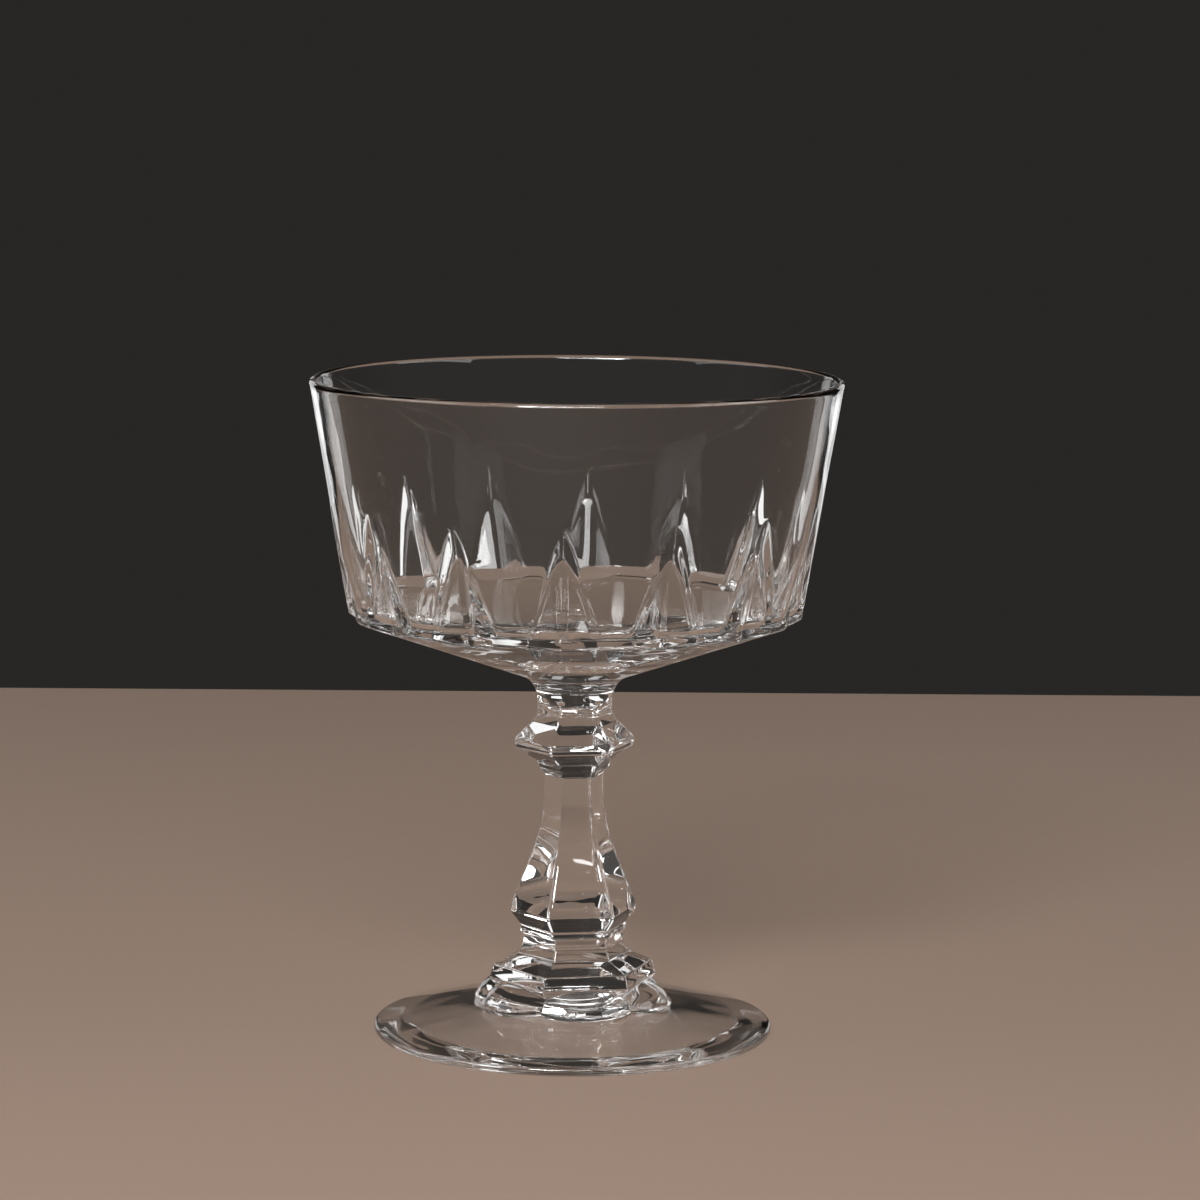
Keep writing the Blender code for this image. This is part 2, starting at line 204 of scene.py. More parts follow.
def crystal(name, waves, look):
    # clear polished glass with the faint ripple of fire polishing;
    # rays towards a lamp and rays from a dull surface pass straight through
    material = bpy.data.materials.new(name)
    material.use_nodes = True
    nodes = material.node_tree.nodes
    links = material.node_tree.links
    glass = nodes["Principled BSDF"]
    glass.inputs["Base Color"].default_value = look["tint"]
    glass.inputs["IOR"].default_value = look["ior"]
    glass.inputs["Transmission Weight"].default_value = 1.0
    place = nodes.new("ShaderNodeTexCoord")

    # ripple
    ripple = nodes.new("ShaderNodeTexNoise")
    ripple.inputs["Scale"].default_value = waves[0]
    ripple.inputs["Detail"].default_value = look["waveDetail"]
    bump = nodes.new("ShaderNodeBump")
    bump.inputs["Strength"].default_value = 1.0
    bump.inputs["Distance"].default_value = waves[1]
    links.new(place.outputs["Object"], ripple.inputs["Vector"])
    links.new(ripple.outputs["Fac"], bump.inputs["Height"])
    links.new(bump.outputs["Normal"], glass.inputs["Normal"])

    # marks of wiping
    smear = nodes.new("ShaderNodeTexNoise")
    smear.inputs["Scale"].default_value = look["smears"]
    smear.inputs["Detail"].default_value = look["smearDetail"]
    polish = nodes.new("ShaderNodeMapRange")
    polish.inputs["From Min"].default_value = look["smearRange"][0]
    polish.inputs["From Max"].default_value = look["smearRange"][1]
    polish.inputs["To Min"].default_value = look["polish"][0]
    polish.inputs["To Max"].default_value = look["polish"][1]
    links.new(place.outputs["Object"], smear.inputs["Vector"])
    links.new(smear.outputs["Fac"], polish.inputs["Value"])
    links.new(polish.outputs["Result"], glass.inputs["Roughness"])

    # straight way through
    clear = nodes.new("ShaderNodeBsdfTransparent")
    clear.inputs["Color"].default_value = look["shadowTint"]
    path = nodes.new("ShaderNodeLightPath")
    strayMix = nodes.new("ShaderNodeMixShader")
    lampMix = nodes.new("ShaderNodeMixShader")
    links.new(path.outputs["Is Diffuse Ray"], strayMix.inputs["Fac"])
    links.new(glass.outputs["BSDF"], strayMix.inputs[1])
    links.new(clear.outputs["BSDF"], strayMix.inputs[2])
    links.new(path.outputs["Is Shadow Ray"], lampMix.inputs["Fac"])
    links.new(strayMix.outputs["Shader"], lampMix.inputs[1])
    links.new(clear.outputs["BSDF"], lampMix.inputs[2])
    links.new(lampMix.outputs["Shader"], nodes["Material Output"].inputs["Surface"])
    return material


def fusedFace():
    # the joint between two gathers: the glass is one body there, so nothing bends or shines
    material = bpy.data.materials.new("fused_joint")
    material.use_nodes = True
    nodes = material.node_tree.nodes
    nodes.remove(nodes["Principled BSDF"])
    clear = nodes.new("ShaderNodeBsdfTransparent")
    material.node_tree.links.new(clear.outputs["BSDF"], nodes["Material Output"].inputs["Surface"])
    return material


fused = fusedFace()
bowlCrystal = crystal("bowl_crystal", crystalLook["blownWaves"], crystalLook)
stemCrystal = crystal("stem_crystal", crystalLook["pressedWaves"], crystalLook)
footCrystal = crystal("foot_crystal", crystalLook["blownWaves"], crystalLook)
print("crystal ready")


# stem

stem = {
    "turn": math.radians(8.0),
    "edgeShare": 0.13,           # rounding of the upright edges, as a share of the radius there
    "softEdge": 1.45 * mm,       # at the horizontal edges of the knop and girdle
    "fineEdge": 0.2 * mm,
    "neckRadius": 6.5 * mm,
    "neckHeight": 3.0 * mm,
    "knopRoot": 7.4 * mm,
    "knopRadius": 10.5 * mm,
    "knopTop": 2.85 * mm,
    "knopEdge": 1.5 * mm,
    "knopUnder": 2.35 * mm,
    "cuffRadius": 6.6 * mm,
    "cuffEdgeRadius": 6.1 * mm,
    "cuffEdgeDrop": 1.2 * mm,
    "cuffHeight": 2.5 * mm,
    "throatRadius": 5.1 * mm,
    "throatHeight": 1.0 * mm,
    "balusterHeight": 21.8 * mm,
    "balusterLean": 0.40,
    "balusterFootPull": 9.8 * mm,
    "balusterTopPull": 8.7 * mm,
    "girdleRadius": 11.1 * mm,
    "girdleHeight": 0.8 * mm,
    "undercutHeight": 2.2 * mm,
    "ringRadius": 9.3 * mm,
    "arcStops": [0.0, 0.25, 0.5, 0.75, 1.0],
    "flatStops": [0.04, 0.12, 0.3, 0.5, 0.75, 1.0],
    "arcSteps": 6,
    "curveSteps": 36,
    "longestStep": 1.5 * mm,
}

footNeck = {"radius": 8.7 * mm, "turn": math.radians(10.0), "edgeRound": 0.45 * mm}


def cubicCurve(start, startHandle, endHandle, end, steps):
    # cubic curve between two ends, as whole columns of t
    t = np.linspace(0.0, 1.0, steps + 1)[:, None]
    s = 1.0 - t
    return start * s ** 3 + startHandle * (3 * s * s * t) + endHandle * (3 * s * t * t) + end * t ** 3


def stemPath(size):
    # corner radius against height, from the joint with the foot up to the joint with the bowl:
    # straight stretches with rounded corners, and a cubic curve for the baluster
    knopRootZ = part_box("stem")[1].z - size["neckHeight"]
    knopTopZ = knopRootZ - size["knopTop"]
    knopEdgeZ = knopTopZ - size["knopEdge"]
    cuffTopZ = knopEdgeZ - size["knopUnder"]
    throatTopZ = cuffTopZ - size["cuffHeight"]
    throatZ = throatTopZ - size["throatHeight"]
    girdleTopZ = throatZ - size["balusterHeight"]
    girdleZ = girdleTopZ - size["girdleHeight"]
    ringTopZ = girdleZ - size["undercutHeight"]
    balusterFoot = np.array([size["girdleRadius"], girdleTopZ])
    balusterTop = np.array([size["throatRadius"], throatZ])
    footHandle = balusterFoot + np.array([-size["balusterLean"], 1.0]) * size["balusterFootPull"]
    topHandle = balusterTop - np.array([0.0, size["balusterTopPull"]])
    baluster = cubicCurve(balusterFoot, footHandle, topHandle, balusterTop, size["curveSteps"])
    low = roundedPath([(size["ringRadius"], footJointZ, 0.0),
                       (size["ringRadius"], ringTopZ, size["fineEdge"]),
                       (size["girdleRadius"], girdleZ, size["softEdge"]),
                       (*baluster[1], 0.0)], size["arcSteps"])
    high = roundedPath([(*baluster[-2], 0.0),
                        (size["throatRadius"], throatTopZ, size["fineEdge"]),
                        (size["cuffEdgeRadius"], cuffTopZ - size["cuffEdgeDrop"], size["fineEdge"]),
                        (size["cuffRadius"], cuffTopZ, size["fineEdge"]),
                        (size["knopRadius"], knopEdgeZ, size["softEdge"]),
                        (size["knopRadius"], knopTopZ, size["softEdge"]),
                        (size["knopRoot"], knopRootZ, size["neckHeight"] / 4),
                        (size["neckRadius"], knopRootZ + size["neckHeight"] / 2, size["neckHeight"] / 4),
                        (size["neckRadius"], bowlJointZ, 0.0)], size["arcSteps"])
    return np.concatenate([low[:-1], baluster[1:-1], high[1:]])


def makeStem(size):
    # the six-sided outline carried up the path: each ring is a hexagon with rounded corners
    path = refined(stemPath(size), size["longestStep"])
    corner = path[:, :1]
    neckRound = size["neckRadius"] * size["edgeShare"]
    angle = hexColumns(size["turn"], neckRound, size["neckRadius"], size["arcStops"], size["flatStops"])
    rings = hexRadius(cornerOffset(angle, size["turn"]), corner, corner * size["edgeShare"])
    side = aroundAxis(rings, path[:, 1:], angle)
    seat = hexRadius(cornerOffset(angle, footNeck["turn"]), footNeck["radius"], footNeck["edgeRound"])
    lowFace = faceRings(seat, footJointZ, angle, (0.0, 0.5, 1.0))
    topFace = faceRings(rings[-1], bowlJointZ, angle, (0.5, 0.0))
    grid = np.concatenate([lowFace, side, topFace])
    last = len(grid) - 2
    return gridPiece("stem_glass", grid, [stemCrystal, fused], [0, 1, last - 1, last])


# foot

foot = {
    "radius": 34.0 * mm,
    "edgeHeight": 1.3 * mm,
    "edgeRound": 0.6 * mm,
    "rise": 4.0 * mm,
    "kickRadius": 28.0 * mm,
    "kickHeight": 4.5 * mm,
    "kickCrown": 10.0 * mm,
    "petalReach": 17.0 * mm,
    "petalRadius": 9.5 * mm,
    "petalHeight": 5.1 * mm,
    "petalSink": 0.3 * mm,
    "petalBlend": 0.25 * mm,
    "turn": math.radians(10.0),
    "collarHeight": 6.4 * mm,
    "collarTop": 13.8 * mm,
    "collarFoot": 14.6 * mm,
    "collarFace": 2.4 * mm,
    "collarUndercut": 1.2 * mm,
    "shoulderHeight": 1.8 * mm,
    "shoulderRadius": 9.6 * mm,
    "neckHeight": 3.7 * mm,
    "edgeSoft": 0.5 * mm,
    "arcStops": [0.0, 0.25, 0.5, 0.75, 1.0],
    "flatStops": [0.03, 0.08, 0.15, 0.23, 0.31, 0.4, 0.49, 0.58, 0.67, 0.76, 0.84, 0.92, 1.0],
    "arcSteps": 6,
    "edgeSteps": 10,
    "kickRings": 24,
    "topRings": 72,
    "lowRings": 8,
    "undersideStep": 2.0 * mm,
    "collarStep": 0.5 * mm,
    "meetStep": 0.04 * mm,
    "meetGap": 0.15 * mm,        # least height of the collar between a petal and the edge above it
}


def footTop(radius, fromLobe, size):
    # height of the foot's upper skin: the shallow cone, swollen by the nearest of the six lobes;
    # fromLobe is the angle from the middle of that lobe
    coneRun = size["radius"] - size["petalReach"]
    cone = size["edgeHeight"] + size["rise"] * (size["radius"] - radius) / coneRun
    lobeCentre = size["petalReach"] - size["petalRadius"]
    away = radius ** 2 + lobeCentre ** 2 - 2 * radius * lobeCentre * np.cos(fromLobe)
    inward = 1.0 - away / size["petalRadius"] ** 2
    swell = np.where(inward > 0.0, np.sqrt(np.maximum(inward, 0.0)), inward)
    lobe = size["edgeHeight"] + size["rise"] - size["petalSink"] + size["petalHeight"] * swell
    return softMax(cone, lobe, size["petalBlend"])


def collarPath(size):
    # corner radius against height of the stepped collar, from its undercut up to the joint with the stem
    crownZ = size["edgeHeight"] + size["rise"]
    topZ = crownZ + size["collarHeight"]
    faceZ = topZ - size["collarFace"]
    underRadius = size["collarFoot"] - size["collarUndercut"]
    neckLowZ = topZ + size["shoulderHeight"]
    return roundedPath([(underRadius, crownZ, 0.0),
                        (underRadius, faceZ - size["collarUndercut"], size["edgeSoft"]),
                        (size["collarFoot"], faceZ, size["edgeSoft"]),
                        (size["collarTop"], topZ, size["edgeSoft"]),
                        (size["shoulderRadius"], neckLowZ, size["edgeSoft"] * 2),
                        (footNeck["radius"], neckLowZ + size["neckHeight"] / 2, size["neckHeight"] / 4),
                        (footNeck["radius"], footJointZ, 0.0)], size["arcSteps"])


def makeFoot(size):
    # one skin of rings: from the middle of the underside out to the edge, in over the petals, up the collar
    angle = hexColumns(size["turn"], footNeck["edgeRound"], footNeck["radius"],
                       size["arcStops"], size["flatStops"])
    offset = cornerOffset(angle, size["turn"])
    fromLobe = halfFlat - np.abs(offset)
    collar = refined(collarPath(size), size["collarStep"])
    crownZ = size["edgeHeight"] + size["rise"]
    topZ = crownZ + size["collarHeight"]
    faceZ = topZ - size["collarFace"]

    # where each column's lobe meets the collar: the lowest height at which the collar stands clear of it
    scan = np.arange(crownZ, topZ, size["meetStep"])[:, None]
    scanRadius = hexRadius(offset, np.interp(scan, collar[:, 1], collar[:, 0]), footNeck["edgeRound"])
    meetRow = np.argmax(footTop(scanRadius, fromLobe, size) < scan, axis=0)
    meetZ = scan[meetRow, 0]
    meetRadius = scanRadius[meetRow, np.arange(len(angle))]

    # underside: the hollow, a cone with a round crown, then the flat resting ring and the rounded edge
    kickOut = np.linspace(0.0, size["kickRadius"], size["kickRings"] + 1)
    run = np.hypot(kickOut, size["kickCrown"]) - size["kickCrown"]
    kick = np.stack([kickOut, size["kickHeight"] * (1.0 - run / run[-1])], axis=1)
    edge = roundedPath([(size["kickRadius"], 0.0, 0.0),
                        (size["radius"], 0.0, size["edgeRound"]),
                        (size["radius"], size["edgeHeight"], size["edgeRound"]),
                        (size["petalReach"], crownZ, 0.0)], size["edgeSteps"])[1:-1]
    edge = refined(np.concatenate([kick[-1:], edge]), size["undersideStep"])[1:]
    under = np.concatenate([kick, edge])
    underside = aroundAxis(under[:, :1], under[:, 1:], angle)

    # top: rings that change from the round edge to the collar's outline, lifted to the upper skin
    share = risingShares(size["topRings"])
    radius = under[-1, 0] * (1 - share) + meetRadius * share
    top = aroundAxis(radius, footTop(radius, fromLobe, size), angle)

    # collar: from the meeting line to the lower edge of its face, which gives way to the lobes,
    # then up the stepped path, whose own heights hold from the top of the face upwards
    faceLowZ = np.maximum(faceZ, meetZ + size["meetGap"])
    share = risingShares(size["lowRings"])
    lowZ = meetZ * (1 - share) + faceLowZ * share
    pathZ = collar[collar[:, 1] > faceZ, 1:]
    share = (pathZ - pathZ[0]) / (pathZ[-1] - pathZ[0])
    held = smoothStep((pathZ - pathZ[0]) / (topZ - pathZ[0]))
    highZ = (faceLowZ * (1 - share) + footJointZ * share) * (1 - held) + pathZ * held
    collarZ = np.concatenate([lowZ, highZ[1:]])
    outline = hexRadius(offset, np.interp(collarZ, collar[:, 1], collar[:, 0]), footNeck["edgeRound"])
    side = aroundAxis(outline, collarZ, angle)
    cap = faceRings(outline[-1], footJointZ, angle, (0.5, 0.0))

    grid = np.concatenate([underside, top, side, cap])
    last = len(grid) - 2
    return gridPiece("foot_glass", grid, [footCrystal, fused], [last - 1, last])


# bowl

bowl = {
    "buttonRadius": 6.4 * mm,
    "buttonHeight": 3.7 * mm,
    "flareFillet": 4.5 * mm,
    "scallopHeight": 1.8 * mm,
    "scallopRadius": 6.7 * mm,
    "scallopBlend": 0.12 * mm,
    "scallopStart": 0.48 * mm,   # height over which the stem's outline gives way to the scallops
    "undersideHeight": 11.2 * mm,
    "baseRadius": 38.4 * mm,
    "baseRound": 0.55 * mm,
    "rimRadius": 45.2 * mm,
    "rimWall": 1.5 * mm,
    "lipRound": 0.735 * mm,
    "lipClear": 1.3,             # the plain wall's last ring lies so many lip rounds under the rim
    "wall": 2.1 * mm,
    "floorLevel": 1.2 * mm,
    "floorDish": 2.4 * mm,
    "floorFillet": 2.5 * mm,
    "flareSteps": 16,
    "flareStep": 0.5 * mm,
    "coneRings": 14,
    "shoulderRings": 8,
    "plainRings": 14,
    "loosening": 1.5,            # the columns are even again at one over this share of the plain wall
    "insideSteps": 9,
    "insideStep": 0.9 * mm,
    "dishRings": 12,
}

spikes = {
    "count": 14,
    "turn": math.radians(-3.0),
    "rise": 20.2 * mm,
    "depth": 2.1 * mm,
    "halfWidth": 5.6 * mm,
    "rootHalfWidth": 0.2 * mm,
    "edgeSoft": 0.10 * mm,
    "tipWidth": 0.25 * mm,
    "swellRise": 15.0 * mm,      # behind each cut the inside stands in as a rounded ridge
    "swellDepth": 3.4 * mm,
    "swellFlank": math.radians(32.0),
    "swellRound": 1.4 * mm,
    "swellSoft": 0.1 * mm,
    "swellFade": 5.0 * mm,
    "facetStops": [0.0, 0.06, 0.13, 0.22, 0.4, 0.6, 0.78, 0.9, 0.96, 1.0],
    "panelStops": [0.04, 0.1, 0.2, 0.35, 0.55, 0.78, 1.0],
    "cutRings": 38,
    "crowding": 1.6,             # the rings of the cut wall lie closer together towards the tips
}


def wallRadius(height, size, baseZ):
    # the straight tapered outer wall
    return size["baseRadius"] + (size["rimRadius"] - size["baseRadius"]) * (height - baseZ) / (rimZ - baseZ)


def depthAt(height, rise, depth):
    # depth of a straight cut at a height over the shoulder: full there, nought from the rise upwards
    return depth * (1.0 - np.clip(height / rise, None, 1.0))


def cutSlope(size, cut):
    # slope of a cut's flats across its width: the depth, less what the round wall falls away by
    # over half the width, is taken up over half the width
    return (cut["depth"] - cut["halfWidth"] ** 2 / (2 * size["baseRadius"])) / cut["halfWidth"]


def valleyRadius(fromSpike, root, slope, width):
    # polar radius of a V valley: y = root + slope * (sqrt(x^2 + w^2) - w) across it, solved for the radius
    # by repeated substitution
    radius = root
    for _ in range(solveRounds):
        across = radius * np.sin(fromSpike)
        radius = (root + slope * (np.sqrt(across ** 2 + width ** 2) - width)) / np.cos(fromSpike)
    return radius


def notched(radius, depth, fromSpike, slope, width, soft):
    # a round wall with a soft-edged V valley of the given depth: what such a valley takes away,
    # less what one of no depth would, so that nothing is left of it where the depth is nought
    cutIn = radius - softMin(radius, valleyRadius(fromSpike, radius - depth, slope, width), soft)
    none = radius - softMin(radius, valleyRadius(fromSpike, radius, slope, width), soft)
    return radius - np.maximum(cutIn - none, 0.0)


def outerRadius(fromSpike, height, size, cut, baseZ):
    # the tapered wall with the V of the nearest spike cut into it
    depth = depthAt(height - baseZ, cut["rise"], cut["depth"])
    return notched(wallRadius(height, size, baseZ), depth, fromSpike,
                   cutSlope(size, cut), cut["rootHalfWidth"], cut["edgeSoft"])


def cutHalfAngle(height, size, cut, baseZ):
    # the angle at which the flat of a cut runs out on the wall, nought from the tip upwards:
    # the flat passes the axis at root * cos(lean), so it meets the round wall at acos of that over the wall
    wall = wallRadius(height, size, baseZ)
    root = wall - depthAt(height - baseZ, cut["rise"], cut["depth"])
    lean = math.atan(cutSlope(size, cut))
    return np.maximum(np.arccos(np.clip(root / wall * math.cos(lean), -1.0, 1.0)) - lean, 0.0)


def innerRadius(fromSpike, radius, height, size, cut, baseZ):
    # the inside stands in behind each cut as a rounder valley, which fades out over the floor
    fadeStart = size["baseRadius"] - size["wall"] - cut["swellFade"]
    overFloor = smoothStep((radius - fadeStart) / cut["swellFade"])
    depth = depthAt(height - baseZ, cut["swellRise"], cut["swellDepth"]) * overFloor
    return notched(radius, depth, fromSpike,
                   math.tan(cut["swellFlank"]), cut["swellRound"], cut["swellSoft"])


def makeBowl(size, cut):
    # one skin of rings: from the joint out under the cone, up the cut wall, over the lip, down the inside
    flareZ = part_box("bowl")[0].z + size["buttonHeight"]
    baseZ = flareZ + size["undersideHeight"]
    tipZ = baseZ + cut["rise"]
    sector = math.tau / cut["count"]

    # columns: packed along the edges of the cuts below the tips, even above them
    facets = np.array(cut["facetStops"])
    panels = np.array(cut["panelStops"])
    perHalf = len(facets) + len(panels) - 1
    steps = np.concatenate([np.arange(-perHalf, 0), np.arange(0, perHalf)])
    even = (steps / perHalf * sector / 2)[None, :]

    def packed(height):
        # angles from a spike's middle line: facet stops out to the edge of the cut, panel stops beyond it
        half = np.maximum(cutHalfAngle(height, size, cut, baseZ), cut["tipWidth"] / size["baseRadius"])
        spread = np.concatenate([half * facets, half + (sector / 2 - half) * panels], axis=-1)
        return np.sign(steps) * spread[:, np.abs(steps)]

    def allRound(fromSpike):
        # the angles of one sector, turned to every spike
        turns = cut["turn"] + sector * np.arange(cut["count"])
        return (turns[None, :, None] + fromSpike[:, None, :]).reshape(len(fromSpike), -1)

    def repeated(values):
        # the values of one sector, once for every spike
        return np.tile(values, (1, cut["count"]))

    lowSpread = packed(np.array([[baseZ]]))
    angle = allRound(lowSpread)

    # shoulder: where the wall or a cut runs into the cone of the underside
    slope = size["undersideHeight"] / (size["baseRadius"] - size["buttonRadius"])
    cornerRadius = np.full_like(lowSpread, size["baseRadius"])
    for _ in range(solveRounds):
        cornerZ = baseZ - slope * (size["baseRadius"] - cornerRadius)
        cornerRadius = outerRadius(lowSpread, cornerZ, size, cut, baseZ)
    cornerZ = baseZ - slope * (size["baseRadius"] - cornerRadius)

    # flare: the button, a fillet and the start of the cone, pressed to six scallops next to the stem
    flare = roundedPath([(size["buttonRadius"], bowlJointZ, 0.0),
                         (size["buttonRadius"], flareZ, size["flareFillet"]),
                         (size["baseRadius"], baseZ, 0.0)], size["flareSteps"])[:-1]
    flare = refined(flare, size["flareStep"])
    flareHeights = flare[:, 1:]
    dieHeights = [bowlJointZ, bowlJointZ + size["scallopHeight"], flareZ]
    dieCorners = [stem["neckRadius"], size["scallopRadius"] / math.cos(halfFlat), size["rimRadius"]]
    dieCorner = np.interp(flareHeights, dieHeights, dieCorners)
    die = hexRadius(cornerOffset(angle, stem["turn"]), dieCorner, stem["neckRadius"] * stem["edgeShare"])
    grown = smoothStep((flareHeights - bowlJointZ) / size["scallopStart"])
    flareRadius = softMin(flare[:, :1], die, size["scallopBlend"]) * grown + die * (1 - grown)
    flareRings = aroundAxis(flareRadius, flareHeights, angle)
    joint = faceRings(die[0], bowlJointZ, angle, (0.0, 0.5))

    # underside cone, out to just short of the shoulder
    coneEnd = cornerRadius - size["baseRound"]
    share = risingShares(size["coneRings"])
    coneRadius = flare[-1, 0] * (1 - share) + repeated(coneEnd) * share
    cone = aroundAxis(coneRadius, baseZ - slope * (size["baseRadius"] - coneRadius), angle)

    # shoulder round: a parabola from the cone through the corner to the wall
    t = risingShares(size["shoulderRings"])
    wallStartZ = cornerZ + size["baseRound"]
    wallStart = outerRadius(lowSpread, wallStartZ, size, cut, baseZ)
    coneEndZ = baseZ - slope * (size["baseRadius"] - coneEnd)
    roundRadius = coneEnd * (1 - t) ** 2 + cornerRadius * 2 * t * (1 - t) + wallStart * t ** 2
    roundZ = coneEndZ * (1 - t) ** 2 + cornerZ * 2 * t * (1 - t) + wallStartZ * t ** 2
    shoulder = aroundAxis(repeated(roundRadius), repeated(roundZ), angle)

    # cut part of the wall
    climb = 1.0 - (1.0 - risingShares(cut["cutRings"])) ** cut["crowding"]
    cutSpread = packed(baseZ + size["baseRound"] + (tipZ - baseZ - size["baseRound"]) * climb)
    cutZ = wallStartZ + (tipZ - wallStartZ) * climb
    cutRadius = outerRadius(cutSpread, cutZ, size, cut, baseZ)
    cutWall = aroundAxis(repeated(cutRadius), repeated(cutZ), allRound(cutSpread))

    # plain wall above the tips
    climb = risingShares(size["plainRings"])
    plainZ = tipZ + (rimZ - size["lipRound"] * size["lipClear"] - tipZ) * climb
    loosened = smoothStep(climb * size["loosening"])
    plainSpread = packed(plainZ) * (1 - loosened) + even * loosened
    plainRadius = outerRadius(plainSpread, plainZ, size, cut, baseZ)
    plainWall = aroundAxis(repeated(plainRadius), plainZ, allRound(plainSpread))

    # lip, inner wall, floor fillet and the dished floor; the inner wall swells in behind each cut
    floorZ = baseZ + size["floorLevel"]
    innerBase = wallRadius(floorZ, size, baseZ) - size["wall"]
    dishRadius = innerBase - size["floorFillet"]
    inside = roundedPath([(size["baseRadius"], baseZ, 0.0),
                          (size["rimRadius"], rimZ, size["lipRound"]),
                          (size["rimRadius"] - size["rimWall"], rimZ, size["lipRound"]),
                          (innerBase, floorZ, size["floorFillet"]),
                          (dishRadius, floorZ, 0.0)], size["insideSteps"])[1:]
    inside = refined(inside, size["insideStep"])
    dish = np.linspace(1.0, 0.0, size["dishRings"] + 1)[1:]
    dishPath = np.stack([dishRadius * dish, floorZ - size["floorDish"] * (1 - dish ** 2)], axis=1)
    inside = np.concatenate([inside, dishPath])
    insideRadius = innerRadius(even, inside[:, :1], inside[:, 1:], size, cut, baseZ)
    insideRings = aroundAxis(repeated(insideRadius), inside[:, 1:], allRound(even))

    grid = np.concatenate([joint, flareRings, cone, shoulder, cutWall, plainWall, insideRings])
    return gridPiece("bowl_glass", grid, [bowlCrystal, fused], [0, 1])


for piece, node in ((makeFoot(foot), "foot"), (makeStem(stem), "stem"), (makeBowl(bowl, spikes), "bowl")):
    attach(piece, "root")
    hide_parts(node)
print("glass ready")


# stage, light and camera

studio = {
    "floorColour": (0.27, 0.19, 0.145, 1.0),
    "floorRoughness": 0.8,
    "floorHalfWidth": 1.4,
    "floorFront": -1.6,
    "floorBack": 0.355,
    "floorDrop": 0.05 * mm,      # the film of air under a glass that only rests on the floor
    "wallColour": (0.0215, 0.0200, 0.0187, 1.0),
    "roomColour": (0.075, 0.072, 0.069, 1.0),
    "wallFrom": -0.2,            # the room fades into the dark wall between these shares of the way back
    "wallTo": 0.6,
    "aimHeight": 0.06,           # the lamps point at this height on the axis of the glass
}

# a softbox over the camera with a small bright panel beside it, a weak softbox at each side
# and a low one at each side behind; turn and lift in degrees, sizes in metres
lamps = {
    "key": {"turn": -8.0, "lift": 36.0, "away": 1.3, "wide": 0.75, "high": 0.28, "glow": 22.0},
    "panel": {"turn": -18.0, "lift": 31.0, "away": 1.3, "wide": 0.3, "high": 0.14, "glow": 75.0},
    "left": {"turn": -80.0, "lift": 30.0, "away": 1.3, "wide": 1.0, "high": 0.5, "glow": 2.0},
    "right": {"turn": 74.0, "lift": 30.0, "away": 1.3, "wide": 1.0, "high": 0.5, "glow": 3.0},
    "rearLeft": {"turn": -158.0, "lift": 2.0, "away": 1.2, "wide": 0.3, "high": 0.5, "glow": 1.1},
    "rearRight": {"turn": 158.0, "lift": 2.0, "away": 1.2, "wide": 0.3, "high": 0.5, "glow": 1.1},
}

view = {
    "at": (0.0, -0.74057, 0.18071),
    "lens": 132.49,
    "sensor": 36.0,
    "nearest": 0.01,
    "yaw": 0.0056,               # the three turns in radians
    "pitch": 0.1427,
    "roll": 0.0079,
}

# how often light may turn inside the glass
bounces = {"all": 32, "through": 32, "mirrored": 16, "straight": 32}


def makeFloor(size):
    # a level rectangle just under the foot
    wide = size["floorHalfWidth"]
    front = size["floorFront"]
    back = size["floorBack"]
    low = -size["floorDrop"]
    mesh = bpy.data.meshes.new("floor")
    mesh.from_pydata([(-wide, front, low), (wide, front, low), (wide, back, low), (-wide, back, low)], [],
                     [(0, 1, 2, 3)])
    material = bpy.data.materials.new("plain_floor")
    material.use_nodes = True
    surface = material.node_tree.nodes["Principled BSDF"]
    surface.inputs["Base Color"].default_value = size["floorColour"]
    surface.inputs["Roughness"].default_value = size["floorRoughness"]
    mesh.materials.append(material)
    floor = bpy.data.objects.new("floor", mesh)
    bpy.context.scene.collection.objects.link(floor)


def makeWorld(size):
    # a dark wall behind the glass and a dim room on the camera's side
    world = bpy.data.worlds.new("studio")
    world.use_nodes = True
    nodes = world.node_tree.nodes
    links = world.node_tree.links
    direction = nodes.new("ShaderNodeTexCoord")
    split = nodes.new("ShaderNodeSeparateXYZ")
    fade = nodes.new("ShaderNodeMapRange")
    fade.interpolation_type = "SMOOTHSTEP"
    fade.inputs["From Min"].default_value = size["wallFrom"]
    fade.inputs["From Max"].default_value = size["wallTo"]
    blend = nodes.new("ShaderNodeMix")
    blend.data_type = "RGBA"
    blend.inputs[6].default_value = size["roomColour"]      # colour A
    blend.inputs[7].default_value = size["wallColour"]      # colour B
    links.new(direction.outputs["Generated"], split.inputs["Vector"])
    links.new(split.outputs["Y"], fade.inputs["Value"])
    links.new(fade.outputs["Result"], blend.inputs[0])      # factor
    links.new(blend.outputs[2], nodes["Background"].inputs["Color"])
    bpy.context.scene.world = world


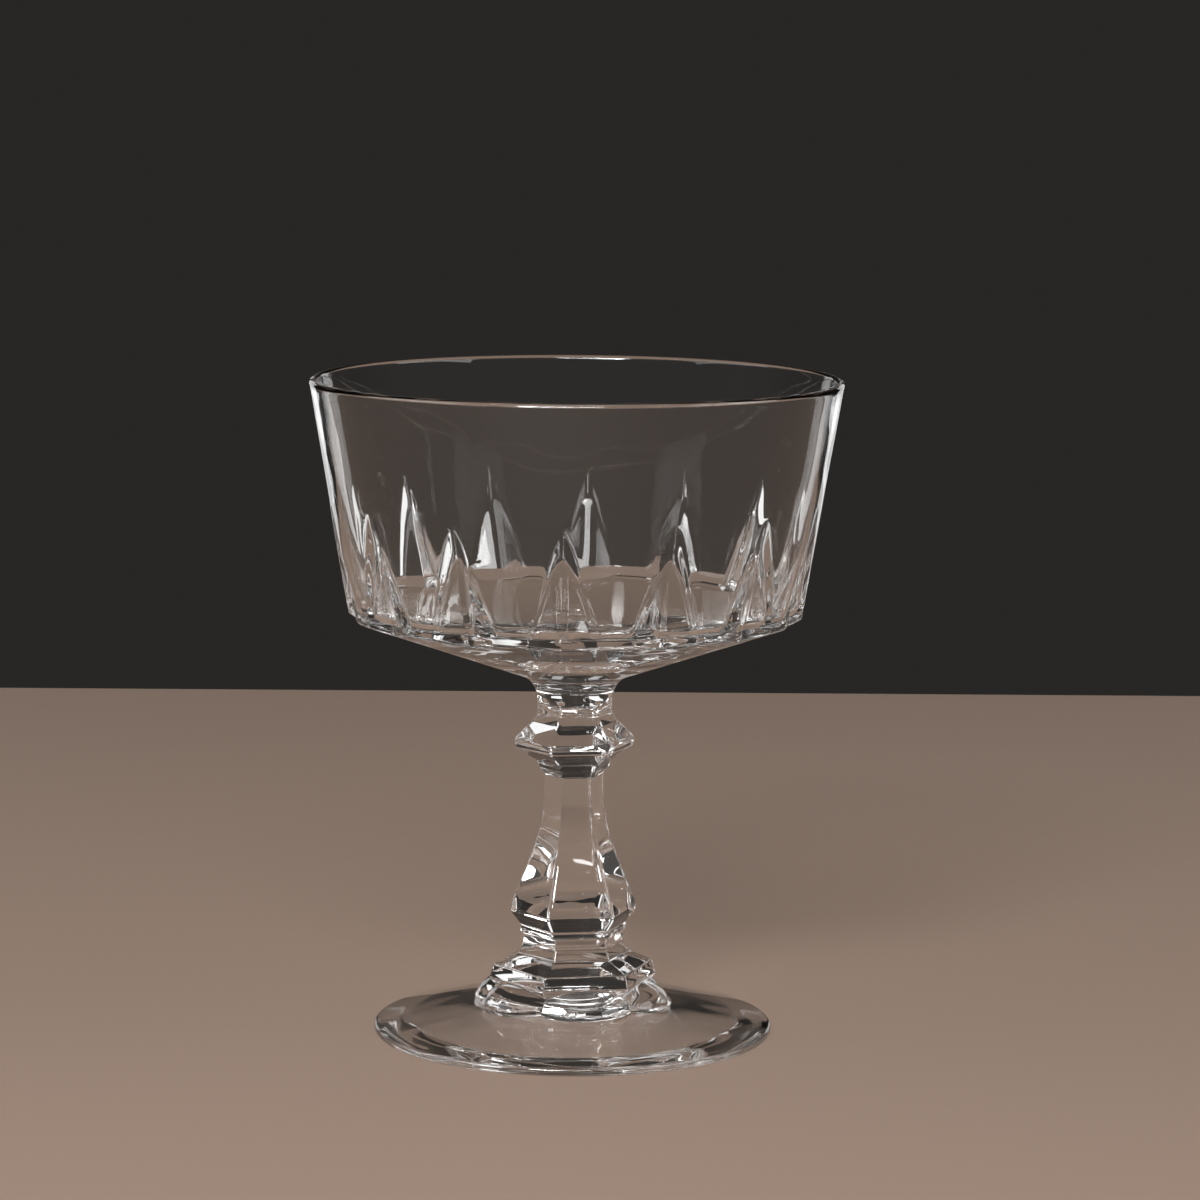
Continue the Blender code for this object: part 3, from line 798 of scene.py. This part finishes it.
def makeLamp(name, setting, aimHeight):
    # a softbox of the given radiance, aimed at the glass; turn is counted from the camera's side
    turn = math.radians(setting["turn"])
    lift = math.radians(setting["lift"])
    aim = Vector((0.0, 0.0, aimHeight))
    outward = Vector((math.sin(turn) * math.cos(lift), -math.cos(turn) * math.cos(lift), math.sin(lift)))
    lamp = bpy.data.lights.new(name, "AREA")
    lamp.shape = "RECTANGLE"
    lamp.size = setting["wide"]
    lamp.size_y = setting["high"]
    lamp.energy = setting["glow"] * math.pi * setting["wide"] * setting["high"]
    holder = bpy.data.objects.new(name, lamp)
    holder.location = aim + outward * setting["away"]
    holder.rotation_euler = outward.to_track_quat("Z", "Y").to_euler()
    holder.visible_camera = False
    bpy.context.scene.collection.objects.link(holder)


def makeCamera(size):
    # looks along +Y, turned by yaw, tipped down by pitch and rolled about its own line of sight
    forward = Vector((math.sin(size["yaw"]) * math.cos(size["pitch"]),
                      math.cos(size["yaw"]) * math.cos(size["pitch"]),
                      -math.sin(size["pitch"])))
    right = Vector((math.cos(size["yaw"]), -math.sin(size["yaw"]), 0.0))
    up = right.cross(forward)
    rolledRight = right * math.cos(size["roll"]) + up * math.sin(size["roll"])
    rolledUp = up * math.cos(size["roll"]) - right * math.sin(size["roll"])
    data = bpy.data.cameras.new("camera")
    data.lens = size["lens"]
    data.sensor_width = size["sensor"]
    data.clip_start = size["nearest"]
    camera = bpy.data.objects.new("camera", data)
    facing = Matrix((rolledRight, rolledUp, -forward)).transposed().to_4x4()
    camera.matrix_world = Matrix.Translation(Vector(size["at"])) @ facing
    bpy.context.scene.collection.objects.link(camera)
    bpy.context.scene.camera = camera


makeFloor(studio)
makeWorld(studio)
for name, setting in lamps.items():
    makeLamp(name, setting, studio["aimHeight"])
makeCamera(view)

scene = bpy.context.scene
scene.view_settings.view_transform = "Standard"
scene.cycles.max_bounces = bounces["all"]
scene.cycles.transmission_bounces = bounces["through"]
scene.cycles.glossy_bounces = bounces["mirrored"]
scene.cycles.transparent_max_bounces = bounces["straight"]
scene.cycles.caustics_refractive = False
scene.cycles.caustics_reflective = False
print("stage ready")
